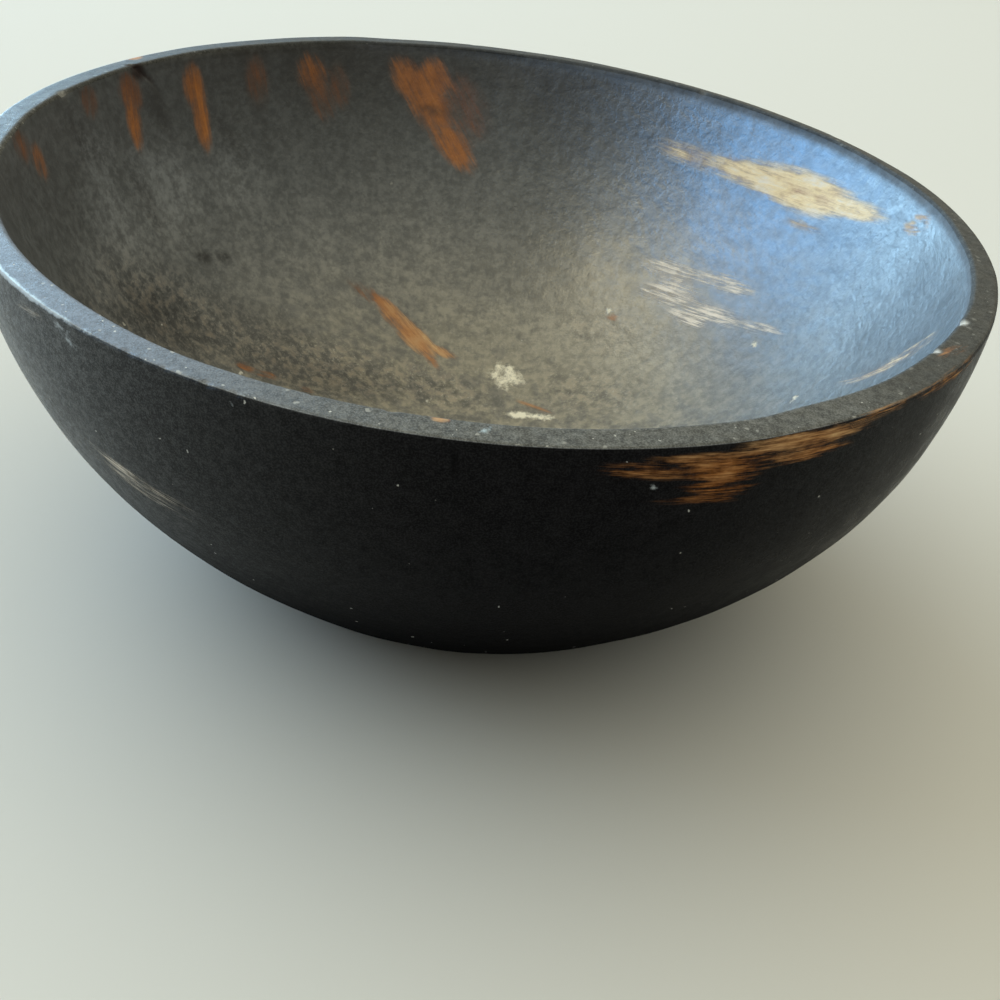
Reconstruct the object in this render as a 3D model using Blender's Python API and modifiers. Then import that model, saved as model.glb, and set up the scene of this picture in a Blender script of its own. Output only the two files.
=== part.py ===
"""Wooden catchall bowl, turned from one block of wood.

Lengths are in metres and angles in degrees. +Z is up, along the turning axis, and the origin
is the centre of the flat base.
"""

import math

import bpy
from mathutils import Matrix, Vector

# Overall sizes
RIM_DIAMETER = 0.180        # outside, at the top edge before it is eased
HEIGHT = 0.072              # base to rim
BASE_DIAMETER = 0.082       # the flat that it stands on

# Thickness of the wood
RIM_WIDTH = 0.0052          # the flat top of the wall
BOTTOM_THICKNESS = 0.010    # at the centre

# Outside curve, from the base up to the rim. A pull ratio says how far an end slope carries,
# against the straight line between the curve's two ends.
FOOT_RISE = 33.7            # slope where the side leaves the base
FOOT_PULL_RATIO = 0.39
RIM_RISE = 81.5             # slope where the side meets the rim
RIM_PULL_RATIO = 0.40

# Inside curve, from the centre up to the rim
LEVEL = 0.0                 # slope of the inside at the centre
FLOOR_PULL_RATIO = 0.46
MOUTH_RISE = 70.0           # slope of the inside where it meets the rim
MOUTH_PULL_RATIO = 0.44

# Edges eased with sandpaper
RIM_OUTER_ROUND = 0.0011
RIM_INNER_ROUND = 0.0007
BASE_ROUND = 0.0016

# Fineness of the mesh
TURN_STEPS = 64
OUTSIDE_STEPS = 12
INSIDE_STEPS = 14
ROUND_STEPS = 2

# Finish: worn black stain
STAIN_COLOUR = (0.022, 0.021, 0.021, 1.0)
STAIN_ROUGHNESS = 0.5

AXIS_MERGE = 0.00001        # joins the turned points that meet on the axis


def slope(degrees):
    """Unit vector in the profile's plane, at an angle above the horizontal."""
    angle = math.radians(degrees)
    return Vector((math.cos(angle), math.sin(angle)))


def curve_between(start, start_slope, start_pull, end, end_slope, end_pull, steps):
    """Points on a cubic curve that leaves one point and reaches another at set slopes."""
    span = (end - start).length
    start_handle = start + start_slope * span * start_pull
    end_handle = end - end_slope * span * end_pull
    points = []
    for step in range(steps + 1):
        along = step / steps
        back = 1.0 - along
        points.append(
            start * back**3
            + start_handle * 3.0 * back**2 * along
            + end_handle * 3.0 * back * along**2
            + end * along**3
        )
    return points


def rounded_corner(before, corner, after, radius):
    """Points on the arc that eases a corner of the profile, touching the lines on both sides of it."""
    towards_before = (before - corner).normalized()
    towards_after = (after - corner).normalized()
    half_angle = towards_before.angle(towards_after) / 2.0
    start = corner + towards_before * (radius / math.tan(half_angle))
    centre = corner + (towards_before + towards_after).normalized() * (radius / math.sin(half_angle))
    turn = math.pi - 2.0 * half_angle
    if towards_before.cross(towards_after) > 0.0:
        turn = -turn
    points = []
    for step in range(ROUND_STEPS + 1):
        spin = Matrix.Rotation(turn * step / ROUND_STEPS, 2)
        points.append(centre + spin @ (start - centre))
    return points


def bowl_profile():
    """Half section of the bowl: up the inside from the centre, over the rim and down the outside."""
    rim_outer = Vector((RIM_DIAMETER / 2.0, HEIGHT))
    rim_inner = Vector((RIM_DIAMETER / 2.0 - RIM_WIDTH, HEIGHT))
    base_edge = Vector((BASE_DIAMETER / 2.0, 0.0))
    base_centre = Vector((0.0, 0.0))
    floor_centre = Vector((0.0, BOTTOM_THICKNESS))

    inside = curve_between(
        floor_centre, slope(LEVEL), FLOOR_PULL_RATIO,
        rim_inner, slope(MOUTH_RISE), MOUTH_PULL_RATIO,
        INSIDE_STEPS,
    )
    outside = curve_between(
        base_edge, slope(FOOT_RISE), FOOT_PULL_RATIO,
        rim_outer, slope(RIM_RISE), RIM_PULL_RATIO,
        OUTSIDE_STEPS,
    )
    outside.reverse()

    profile = inside[:-1]
    profile += rounded_corner(inside[-2], rim_inner, rim_outer, RIM_INNER_ROUND)
    profile += rounded_corner(rim_inner, rim_outer, outside[1], RIM_OUTER_ROUND)
    profile += outside[1:-1]
    profile += rounded_corner(outside[-2], base_edge, base_centre, BASE_ROUND)
    profile.append(base_centre)
    return profile


def stained_wood():
    """Black stain on wood."""
    material = bpy.data.materials.new("black_stained_wood")
    material.use_nodes = True
    shader = material.node_tree.nodes["Principled BSDF"]
    shader.inputs["Base Color"].default_value = STAIN_COLOUR
    shader.inputs["Roughness"].default_value = STAIN_ROUGHNESS
    shader.inputs["Metallic"].default_value = 0.0
    material.diffuse_color = STAIN_COLOUR
    return material


def turned_piece(name, profile, material, collection):
    """Solid made by turning a half section about the Z axis."""
    points = [(radius, 0.0, height) for radius, height in profile]
    lines = [(index, index + 1) for index in range(len(points) - 1)]
    mesh = bpy.data.meshes.new(name)
    mesh.from_pydata(points, lines, [])
    mesh.materials.append(material)
    piece = bpy.data.objects.new(name, mesh)
    collection.objects.link(piece)

    turning = piece.modifiers.new("turning", "SCREW")
    turning.axis = "Z"
    turning.angle = math.tau
    turning.steps = TURN_STEPS
    turning.render_steps = TURN_STEPS
    turning.use_merge_vertices = True
    turning.merge_threshold = AXIS_MERGE
    turning.use_smooth_shade = True
    return piece


def build():
    for old in list(bpy.data.objects):
        bpy.data.objects.remove(old, do_unlink=True)
    collection = bpy.data.collections.new("catchall_bowl")
    bpy.context.scene.collection.children.link(collection)
    turned_piece("bowl", bowl_profile(), stained_wood(), collection)


build()
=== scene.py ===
import math

import bpy
import numpy as np
from mathutils import Matrix, Vector


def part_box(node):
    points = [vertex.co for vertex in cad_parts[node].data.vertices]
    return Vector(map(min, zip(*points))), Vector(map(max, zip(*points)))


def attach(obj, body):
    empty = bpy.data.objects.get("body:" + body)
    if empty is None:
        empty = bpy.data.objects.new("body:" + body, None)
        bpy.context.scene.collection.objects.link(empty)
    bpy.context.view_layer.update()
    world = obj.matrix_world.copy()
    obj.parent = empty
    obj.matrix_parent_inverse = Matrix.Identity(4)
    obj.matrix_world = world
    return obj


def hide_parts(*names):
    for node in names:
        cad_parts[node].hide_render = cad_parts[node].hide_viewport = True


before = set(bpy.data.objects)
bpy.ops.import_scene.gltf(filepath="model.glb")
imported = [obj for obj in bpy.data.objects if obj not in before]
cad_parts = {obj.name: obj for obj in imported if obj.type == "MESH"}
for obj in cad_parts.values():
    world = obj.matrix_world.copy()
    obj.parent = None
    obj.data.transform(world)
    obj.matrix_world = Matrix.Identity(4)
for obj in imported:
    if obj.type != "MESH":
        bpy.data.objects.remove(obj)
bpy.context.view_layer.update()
bowlLow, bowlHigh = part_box("bowl")
scene = bpy.context.scene
mm = 0.001
print("frame loaded, bowl", [round(side / mm, 1) for side in bowlHigh - bowlLow], "mm")


# Bowl, turned in one piece: lengths in metres, angles in degrees, azimuth 0 at +X and -90 at the front
bowlForm = {
    "rimRadius": (bowlHigh.x - bowlLow.x) / 2 + 0.25 * mm,  # before its edge is eased
    "height": bowlHigh.z,
    "baseRadius": 41.0 * mm,
    "rimWidth": 5.2 * mm,
    "rimFall": 0.4 * mm,  # the rim slopes down to its outer edge
    "bottomThickness": 10.0 * mm,
    "footRise": 33.7, "footPull": 0.36,  # outside curve, from the base to the rim
    "rimRise": 84.5, "rimPull": 0.40,
    "floorRise": 0.0, "floorPull": 0.46,  # inside curve, from the centre to the rim
    "mouthRise": 70.0, "mouthPull": 0.44,
    "innerRound": 0.9 * mm,
    "outerRound": 0.7 * mm,
    "baseRound": 1.6 * mm,
    "slopeSteps": 5,  # points from a curve's end to where a rounded corner reads its slope
    "ringStep": 0.85 * mm,  # mesh: spacing up the walls
    "edgeSteps": 6,  # mesh: rings on a rounded edge
    "rimEdgeSteps": 2,  # of those on the outer edge, how many belong to the rim
    "columns": 768,  # mesh: points round the rim
    "leastColumns": 24,
    "leastSpacing": 0.34 * mm,  # a ring with less keeps every second column
    # columns stand closer where the rim is split or chipped: azimuth, spread, gain
    "closer": [(147.0, 5.0, 3.0), (-118.0, 14.0, 0.8), (-30.0, 8.0, 0.8)],
    "searchSteps": 7200,  # round the bowl, to place the columns
}

# How far the hand-finished rim strays from round: azimuth and distance outwards in millimetres
rimStray = {
    "outer": [(-135, 1.0), (-130, 0.95), (-124, 0.8), (-114, 0.85), (-104, 1.0), (-89, 0.6), (-79, 0.1),
              (-70, -0.2), (-54, -0.9), (-40, -1.3), (-26, -1.7), (-12, -2.0), (0, -1.6), (15, -1.5),
              (35, -2.0), (53, -2.4), (69, -2.1), (85, -1.3), (100, -0.3), (122, 0.9), (145, 1.3),
              (165, 1.3), (-170, 1.1), (-150, 1.0)],
    "inner": [(-141, 1.2), (-134, 1.35), (-128, 1.5), (-115, 1.75), (-105, 1.45), (-89, 0.8), (-79, 0.4),
              (-69, -0.1), (-50, -1.3), (-31, -1.6), (-14, -1.1), (-2, -0.5), (15, 0.4), (33, 0.2),
              (52, -0.3), (69, -0.2), (85, -0.3), (100, 0.1), (123, 1.3), (145, 1.8), (165, 1.5),
              (-170, 1.1), (-155, 1.0)],
    "ease": 8.0,  # degrees over which one place runs into the next
    "fade": 2.0,  # how fast it dies away below the rim
}


def unit(vectors):
    return vectors / np.linalg.norm(vectors, axis=-1, keepdims=True)


def polar(radius, angle):
    return radius * np.cos(angle), radius * np.sin(angle)


def direction(rise):
    return np.array(polar(1.0, math.radians(rise)))


def summed(values):
    return np.concatenate([[0.0], np.cumsum(values)])


def risingCurve(start, startRise, startPull, end, endRise, endPull, steps=400):
    span = np.linalg.norm(end - start)
    startHandle = start + direction(startRise) * span * startPull
    endHandle = end - direction(endRise) * span * endPull
    along = np.linspace(0.0, 1.0, steps + 1)[:, None]
    back = 1.0 - along
    pulled = 3 * startHandle * back**2 * along + 3 * endHandle * back * along**2
    return start * back**3 + pulled + end * along**3


def cornerArc(before, corner, after, radius, steps):
    towardsBefore = unit(before - corner)
    towardsAfter = unit(after - corner)
    halfAngle = math.acos(float(towardsBefore @ towardsAfter)) / 2
    centre = corner + unit(towardsBefore + towardsAfter) * radius / math.sin(halfAngle)
    start = corner + towardsBefore * radius / math.tan(halfAngle) - centre
    turn = -(math.pi - 2 * halfAngle)  # the profile runs over the rim to the right
    angles = np.linspace(0.0, turn, steps + 1)
    cosines, sines = np.cos(angles), np.sin(angles)
    spun = [start[0] * cosines - start[1] * sines, start[0] * sines + start[1] * cosines]
    return centre + np.stack(spun, 1)


def lengthsAlong(points):
    return summed(np.linalg.norm(np.diff(points, axis=0), axis=1))


def evenSteps(points, step):
    lengths = lengthsAlong(points)
    count = max(2, round(lengths[-1] / step))
    places = np.linspace(0.0, lengths[-1], count + 1)
    return np.stack([np.interp(places, lengths, points[:, side]) for side in range(2)], 1)


def trimmed(points, cut):
    # a curve that ends where its rounded corner begins
    left = np.linalg.norm(points - points[-1], axis=1) > np.linalg.norm(cut - points[-1])
    return np.vstack([points[left], cut])


def bowlProfile(form):
    rimOuter = np.array([form["rimRadius"], form["height"]])
    rimInner = rimOuter + np.array([-form["rimWidth"], form["rimFall"]])
    baseEdge = np.array([form["baseRadius"], 0.0])
    floorCentre = np.array([0.0, form["bottomThickness"]])
    inside = risingCurve(floorCentre, form["floorRise"], form["floorPull"],
                         rimInner, form["mouthRise"], form["mouthPull"])
    outside = risingCurve(baseEdge, form["footRise"], form["footPull"],
                          rimOuter, form["rimRise"], form["rimPull"])[::-1]
    steps, near = form["edgeSteps"], form["slopeSteps"]
    innerEdge = cornerArc(inside[-1 - near], rimInner, rimOuter, form["innerRound"], steps)
    outerEdge = cornerArc(rimInner, rimOuter, outside[near], form["outerRound"], steps)
    baseTurn = cornerArc(outside[-1 - near], baseEdge, np.zeros(2), form["baseRound"], steps)
    inside = trimmed(inside, innerEdge[0])
    outside = trimmed(trimmed(outside, baseTurn[0])[::-1], outerEdge[-1])[::-1]
    step, over = form["ringStep"], form["rimEdgeSteps"]
    return [
        ("inside", evenSteps(inside, step)),
        ("rim", innerEdge),
        ("rim", evenSteps(np.array([innerEdge[-1], outerEdge[0]]), step / 2)),
        ("rim", outerEdge[:over + 1]),
        ("outside", outerEdge[over:]),
        ("outside", evenSteps(outside, step)),
        ("outside", baseTurn),
        ("outside", evenSteps(np.array([baseTurn[-1], [0.0, 0.0]]), 2 * step)),
    ]


def columnAzimuths(form):
    fine = np.linspace(-180.0, 180.0, form["searchSteps"] + 1)
    density = np.ones_like(fine)
    for azimuth, spread, gain in form["closer"]:
        density += gain * np.exp(-((fine - azimuth) / spread) ** 2)
    gathered = summed((density[1:] + density[:-1]) / 2)
    wanted = np.arange(form["columns"]) / form["columns"] * gathered[-1]
    return np.radians(np.interp(wanted, gathered, fine))


def turnFrom(azimuth, degrees):
    # angle from a heading, the short way round
    return np.angle(np.exp(1j * (azimuth - math.radians(degrees))))


def byAzimuth(places, azimuth, ease):
    # a value read from places round the bowl, each running into the next over some degrees
    near = np.zeros(len(azimuth))
    total = np.zeros(len(azimuth))
    for degrees, value in places:
        weight = np.exp(-((np.degrees(turnFrom(azimuth, degrees)) / ease) ** 2)) + 1e-9
        near += weight
        total += weight * value
    return total / near


def strayAt(edge, azimuth):
    return byAzimuth(rimStray[edge], azimuth, rimStray["ease"]) * mm


def clipped(value):
    return np.clip(value, 0.0, 1.0)


def strayWeight(height):
    return clipped(height / bowlForm["height"]) ** rimStray["fade"]


def smoothStep(low, high, value):
    share = clipped((value - low) / (high - low))
    return share * share * (3.0 - 2.0 * share)


def rollingNoise(points, wavelength, seed, waves=14, spread=(0.7, 1.4)):
    # smooth unevenness: a fixed set of sine waves that cross in many directions
    draw = np.random.default_rng(seed)
    headings = unit(draw.normal(size=(waves, 3)))
    rates = 2 * math.pi / wavelength * draw.uniform(*spread, waves)
    shifts = draw.uniform(0.0, 2 * math.pi, waves)
    return np.sin(points @ (headings * rates[:, None]).T + shifts).sum(1) / math.sqrt(waves)


class Turned:
    # every point of the bowl's surface as flat arrays: ring by ring from the inside's centre to the base's
    def __init__(self, form):
        self.form = form
        self.rimInner = form["rimRadius"] - form["rimWidth"]
        rings = []
        zones = []
        for zone, points in bowlProfile(form):
            skip = 1 if rings else 0
            rings += list(points[skip:])
            zones += [zone] * (len(points) - skip)
        self.rings = np.array(rings)
        self.ringZones = np.array(zones)
        self.ringLengths = lengthsAlong(self.rings)
        slopes = unit(np.gradient(self.rings, self.ringLengths, axis=0))
        self.ringNormals = np.stack([-slopes[:, 1], slopes[:, 0]], 1)
        azimuths = columnAzimuths(form)
        self.counts = [self.columnsAt(radius) for radius in self.rings[:, 0]]
        self.starts = summed(self.counts).astype(int)
        self.ringOf = np.repeat(np.arange(len(self.rings)), self.counts)
        self.azimuth = np.concatenate([azimuths[:: len(azimuths) // count] for count in self.counts])
        self.base = self.rings[self.ringOf]
        self.radius, self.height = self.base.T
        self.outward, self.upward = self.ringNormals[self.ringOf].T
        self.zone = self.ringZones[self.ringOf]
        self.length = self.ringLengths[self.ringOf]

    def columnsAt(self, radius):
        if radius < 1e-6:
            return 1
        count = self.form["columns"]
        most = 2 * math.pi * radius / self.form["leastSpacing"]
        while count > max(most, self.form["leastColumns"]):
            count //= 2
        return count

    def points(self):
        return np.stack([*polar(self.radius, self.azimuth), self.height], 1)

    def push(self, offset):
        # along the surface's normal
        self.radius = self.radius + offset * self.outward
        self.height = self.height + offset * self.upward

    def faces(self):
        # ring by ring; where two rings differ, a point of the one with fewer takes several faces
        made = []
        rows = []
        for ring in range(len(self.rings) - 1):
            pair = list(zip(self.starts[ring:], self.counts[ring:ring + 2]))
            steps = max(count for start, count in pair)
            for step in range(steps):
                a, b = (start + step * count // steps for start, count in pair)
                d, c = (start + (step + 1) * count // steps % count for start, count in pair)
                made.append(tuple(dict.fromkeys((a, b, c, d))))
            rows += [ring] * steps
        return made, np.array(rows)


turned = Turned(bowlForm)
onInside, onRim, onOutside = (turned.zone == zone for zone in ("inside", "rim", "outside"))
print("bowl profile", len(turned.rings), "rings,", len(turned.azimuth), "points")


# Unevenness of the handmade surface
relief = {
    "broad": (46.0 * mm, 0.13 * mm, 11),  # wavelength, height and seed
    "middle": (15.0 * mm, 0.035 * mm, 12),
    "foot": 6.0 * mm,  # it starts over this height
    "rimShare": 0.35,
    "ridges": (6.5 * mm, 0.016 * mm),  # along the grain, inside
    "ridgeRise": (12.0 * mm, 30.0 * mm),
    "ridgeBends": (30.0 * mm, 1.6, 21),
    "grainAzimuth": -37.0,
    "grainLean": 0.35,
}

# Chips out of the rim's edges: azimuth, length, reach, depth and paleness
rimChips = {
    "outer": [(-127.0, 1.6, 0.9, 0.25, 0.1), (-121.0, 2.2, 1.0, 0.3, 0.1), (-117.0, 1.4, 0.9, 0.25, 0.1),
              (-112.6, 1.8, 1.0, 0.4, 0.1), (-109.6, 1.3, 0.9, 0.3, 0.1), (-62.0, 2.4, 0.8, 0.2, 0.1),
              (38.0, 2.0, 0.9, 0.3, 0.2), (96.0, 2.2, 0.9, 0.25, 0.2)],
    "inner": [(-24.5, 3.0, 1.5, 0.55, 1.0), (-34.0, 2.4, 1.3, 0.5, 1.0), (-97.0, 2.0, 0.9, 0.3, 0.3),
              (-104.0, 1.8, 0.9, 0.25, 0.2), (166.0, 2.6, 1.2, 0.5, 0.25), (60.0, 2.2, 1.0, 0.3, 0.1)],
    "cut": (0.6, 0.8),  # shares of the depth, sideways and down
    "broken": [(0.35, 5.0, 1.0), (0.2, 11.0, 2.0)],  # waves along a chip: height, rate, shift
    "paleGain": 1.6,
}

# Split that runs from the rim down the inside: azimuth and distance below the rim, in degrees and metres
rimSplit = {
    "path": [(151.4, -1.4 * mm), (150.6, 0.4 * mm), (149.6, 1.6 * mm), (148.6, 3.0 * mm),
             (147.8, 5.2 * mm)],
    "width": 1.9 * mm,
    "leastWidth": 0.35,
    "depth": 0.5 * mm,
    "opens": (-0.6 * mm, 0.9 * mm),  # past the path's first point
    "closes": (0.5 * mm, -4.0 * mm),  # past its last one
    "stain": (1.5, 1.2),  # gain and spread of the dark along it
    "knot": (150.4, 0.9 * mm, 1.5 * mm),  # azimuth, distance below the rim, radius
    "knotGain": 1.6,
}


def strayRim():
    share = np.where(onRim, smoothStep(turned.rimInner, bowlForm["rimRadius"], turned.radius), onOutside)
    inner = strayAt("inner", turned.azimuth)
    outer = strayAt("outer", turned.azimuth)
    turned.radius = turned.radius + strayWeight(turned.height) * (inner * (1.0 - share) + outer * share)


def roughenSurface():
    points = turned.points()
    walls = smoothStep(0.0, relief["foot"], turned.height) * np.where(onRim, relief["rimShare"], 1.0)
    offset = np.zeros(len(points))
    for layer in ("broad", "middle"):
        wavelength, height, seed = relief[layer]
        offset += walls * height * rollingNoise(points, wavelength, seed)
    across = math.radians(relief["grainAzimuth"] + 90.0)
    layers = points @ np.array([*polar(1.0, across), relief["grainLean"]])
    bendLength, bend, bendSeed = relief["ridgeBends"]
    wavelength, height = relief["ridges"]
    wave = np.sin(2 * math.pi * layers / wavelength + bend * rollingNoise(points, bendLength, bendSeed))
    offset += onInside * height * wave * smoothStep(*relief["ridgeRise"], turned.height)
    turned.push(offset)


def chipRim():
    chipped = np.zeros(len(turned.azimuth))
    sideways, down = rimChips["cut"]
    for edge, radius, way in (("outer", bowlForm["rimRadius"], -1.0), ("inner", turned.rimInner, 1.0)):
        away = np.hypot(turned.base[:, 0] - radius, turned.base[:, 1] - bowlForm["height"])
        for number, (azimuth, length, reach, depth, pale) in enumerate(rimChips[edge]):
            along = turnFrom(turned.azimuth, azimuth) * radius / (length * mm / 2)
            ragged = 1.0
            for height, rate, shift in rimChips["broken"]:
                ragged = ragged + height * np.sin(rate * along + shift * number)
            amount = clipped(1.0 - along**2) * clipped(1.0 - away / (reach * mm)) * ragged
            turned.radius = turned.radius + way * sideways * depth * mm * amount
            turned.height = turned.height - down * depth * mm * amount
            chipped = np.maximum(chipped, clipped(rimChips["paleGain"] * amount) * pale)
    return chipped


def splitRim():
    # distance below the rim's inner edge, negative across the rim's flat
    rimHeight = bowlForm["height"]
    below = np.where(onInside, rimHeight - turned.base[:, 1], turned.rimInner - turned.base[:, 0])
    below = np.where(onOutside, turned.base[:, 1] - rimHeight - bowlForm["rimWidth"], below)
    azimuths, depths = np.array(rimSplit["path"]).T
    opening, opened = rimSplit["opens"]
    closed, closing = rimSplit["closes"]
    taper = smoothStep(depths[0] + opening, depths[0] + opened, below)
    taper = taper * smoothStep(depths[-1] + closed, depths[-1] + closing, below)
    width = rimSplit["width"] * (rimSplit["leastWidth"] + (1.0 - rimSplit["leastWidth"]) * taper)
    centre = np.interp(below, depths, np.radians(azimuths))
    apart = np.abs(turned.azimuth - centre) * turned.rimInner / (width / 2)
    turned.push(-clipped(1.0 - apart) * taper * rimSplit["depth"])
    azimuth, distance, radius = rimSplit["knot"]
    aside = turnFrom(turned.azimuth, azimuth) * turned.rimInner
    knot = clipped(rimSplit["knotGain"] - np.hypot(aside, below - distance) / radius) * ~onOutside
    gain, spread = rimSplit["stain"]
    return np.maximum(clipped(gain * (1.0 - apart / spread)) * taper, knot)


strayRim()
roughenSurface()
chipped = chipRim()
split = splitRim()
print("bowl surface worked")


def mark(azimuth, level, turn, *lobes, **ways):
    return {"at": (azimuth, level), "turn": turn, "lobes": lobes, **ways}


# Worn and stained places, by side, in millimetres and degrees. A mark has a centre at an azimuth and height
# (rim: radius). Its heading is counted from the way round (growing azimuth) towards up the wall, and its
# lobes lie beside that heading: along, across, length, width, strength and tilt.
# Rubbed places, bare wood under the black: here a lobe has its tone before its tilt, from dark red (0) over
# orange (0.5) to pale cream (1). Ragged says how streaky the edge is, and fine how thin the streaks are.
rubbedPlaces = {"inside": [
    # pale patch on the right, feathered to the left
    mark(40.1, 60.3, 174, (-7.4, -0.5, 32, 7.4, 0.95, 0.87), (3.9, -0.6, 35, 9.8, 1.35, 0.89),
         (17.5, -0.1, 25, 5.4, 0.9, 0.86), (-24.3, -0.1, 23, 6, 0.46, 0.8), (8.1, 6.2, 16, 2.6, 0.4, 0.78),
         ragged=0.75),
    # thin scratches below it
    mark(43.3, 36.5, 171, (-10.5, -2.4, 20, 6.5, 0.46, 1), (-8.8, -0.9, 10, 2.8, 0.6, 1, -65),
         (-8.5, 2.4, 20, 6.5, 0.52, 1, -8), (1.5, -3.6, 22, 5, 0.42, 1), (-2, 6, 14, 4.2, 0.58, 1),
         (3.5, 3.6, 22, 5, 0.46, 1), (15, 3.8, 18, 3.4, 0.34, 1), ragged=1.9, fine=2.3),
    # scuff near the right end of the mouth
    mark(14, 67.6, 158, (-1.1, 1, 7.6, 2.8, 0.55, 0.74, 10), (0.8, -1.5, 7, 2.5, 0.55, 0.72),
         (2.9, 0, 4.8, 2.4, 0.55, 0.76, 32), ragged=1.1),
    # thin tan streaks along the mouth
    mark(-6.4, 51.2, 131, (-3.9, 0.3, 31.6, 4, 0.34, 0.74), (6.4, -0.5, 24.9, 4.2, 0.4, 0.78),
         (8.5, -1, 18, 2.8, 0.32, 0.78, 12), ragged=1.2, fine=1.9),
    # big orange one at the back, broad at the top
    mark(100.9, 58.3, -121, (-9.3, 2.6, 15, 8.6, 0.9, 0.45, -8), (-7.5, -2.7, 11.5, 8, 0.9, 0.49, 9),
         (-7.8, 0.2, 11, 9, 0.8, 0.4), (-2.5, 1.1, 15.5, 11, 0.92, 0.45, -15),
         (7, 1.2, 17.6, 7.4, 0.88, 0.52, -10), (0.5, -5.4, 22, 13, 0.4, 0.22),
         (7.8, -1.1, 8.6, 5.6, 0.5, 0.42, -17), ragged=0.75),
    # streaks on the left and at the back, dark red at the top
    mark(141.7, 62.1, -83, (-3.9, 0.3, 12.6, 6.6, 0.78, 0.4), (2, -0.2, 16.6, 5.2, 0.86, 0.53), ragged=0.6),
    mark(153.7, 64.7, -75, (-3.6, 0, 10.4, 8, 0.66, 0.26), (2.4, 0.1, 13.2, 5, 0.82, 0.48), ragged=0.6),
    mark(161.4, 69.3, -62, (0.2, 0, 8.6, 6.5, 0.48, 0.2), ragged=0.6),
    mark(178.1, 65.3, -59, (0, 0, 8.6, 6.8, 0.56, 0.38), (-1.7, 5.9, 8.4, 9, 0.44, 0.24, -22), ragged=0.7),
    mark(130.8, 65.6, -87, (0, 0, 13.4, 7.4, 0.46, 0.18), ragged=0.6),
    mark(121.2, 63.7, -108, (-2.4, -0.3, 11, 9, 0.62, 0.34), (2.6, 0, 12.6, 8, 0.5, 0.25),
         (1.8, -5.3, 13, 6.4, 0.46, 0.18, 16), ragged=0.8),
    # bottom: orange streak with a forked end and a faint tail, then small bare bits
    mark(110.8, 20.2, -120, (-3.9, 0.1, 13.6, 5.4, 0.86, 0.62), (2.3, -0.3, 15.6, 6.6, 1.05, 0.68),
         (9, -2.5, 9.4, 2.9, 0.8, 0.66, -22), (9, 0.7, 8.2, 2.6, 0.6, 0.52, 9),
         (-11.8, 1.7, 12.6, 4.4, 0.4, 0.32, -24), ragged=1.1),
    mark(64.2, 13.5, -179, (-0.5, -0.1, 11.2, 1.9, 0.6, 0.62), ragged=0.9),
    mark(160.1, 20.4, -127, (-2, -0.4, 6.2, 3.4, 0.52, 0.44), (2.5, 0.1, 6.2, 3.2, 0.56, 0.5),
         (11.3, 1.3, 4, 2.4, 0.42, 0.46, 9), ragged=1.5),
    mark(60.2, 26.9, 169, (0.1, 0.2, 3.6, 2.2, 0.5, 0.6), ragged=0.8),
], "outside": [
    # big brown one under the rim on the right
    mark(-66.5, 69.8, -3, (-11.6, -2.4, 22, 3.4, 0.34, 0.58), (-1.4, -0.6, 28, 3.6, 0.5, 0.62),
         (-1.1, -2.2, 18, 4.6, 0.54, 0.59), (-0.6, -5, 15, 5, 0.36, 0.54),
         (-2.5, -7.4, 20, 2.4, 0.28, 0.56), (12.4, 1.2, 29, 3.2, 0.62, 0.66),
         (13.3, -1.5, 18, 3, 0.52, 0.61), (-13.3, -1.6, 13, 2.4, 0.28, 0.56, 6), ragged=1.25, fine=1.9),
    # scratches on the left
    mark(-124.7, 46.1, -9, (-0.2, 0.6, 28, 3.4, 0.29, 0.97), (-0.4, -2.2, 27, 3.6, 0.24, 0.97), ragged=1.7,
         fine=3.4),
    mark(-132.6, 69.9, 8, (-3.6, -0.1, 17, 2.3, 0.2, 1), ragged=1.6, fine=2.8),
], "rim": [
    # worn line along the outer edge, brown place beside it, knot, bare bit at the front
    mark(-44, 90, 0, (-9, 0.4, 25, 1.7, 0.36, 0.66), (9, 0.6, 32, 2.6, 0.36, 0.64), ragged=1.8, fine=2.2,
         zones=("rim", "outside")),
    mark(-32.5, 87, 11, (0, 0, 10.4, 3.4, 0.26, 0.55), ragged=1.4, fine=2.4),
    mark(148.1, 89.4, 0, (0, 0, 4.8, 4.2, 0.9, 0.66), ragged=0.5, zones=("rim", "outside")),
    mark(-92.7, 85.4, 0, (0, 0, 2.9, 2.2, 0.8, 0.7), ragged=0.6, zones=("rim", "inside")),
]}

# Whitish scuffs, on the surface and not through it, and a painted highlight along the rim's outer edge at
# the left
paleScuffs = {"inside": [
    # burst and strip at the front of the bottom, then specks
    mark(80.3, 15.7, 165, (-0.2, 0.3, 8.7, 9.6, 0.8, 20), (-0.9, 0.6, 11.6, 4.1, 0.6, 75),
         (2.6, 0, 8.1, 3.1, 0.6, 68)),
    mark(63.8, 12.8, 156, (-2.2, -0.1, 8.1, 2.9, 1), (2.6, 0.1, 7.6, 2.5, 0.9)),
    mark(7.6, 33.1, 128, (0, 0, 2.2, 2.2, 0.95)),
    mark(61.6, 27.6, 177, (0, 0, 2.4, 2, 0.9)),
    mark(27.3, 33.9, 149, (0, 0.1, 2.4, 2.1, 0.8)),
], "outside": [
    mark(-110.1, 70.2, 0, (0, 0, 1.2, 1.2, 0.9)),
    mark(-73.8, 65.2, 0, (0, 0, 1.3, 1.2, 0.8)),
    mark(-129.6, 70.2, 6, (0, 0, 5.5, 2, 0.62), (1.6, -1.9, 4.5, 1.7, 0.52, -12)),
], "rim": [
    mark(-88.8, 87, -56, (0, 0, 3.8, 1.5, 0.7)),
    # outer edge at the left: a painted highlight, a pale bluish line where the rounded edge catches the
    # light
    mark(-146, 89.9, 0, (0, 0.1, 72, 1.3, 1.3), zones=("rim", "outside")),
]}

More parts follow.
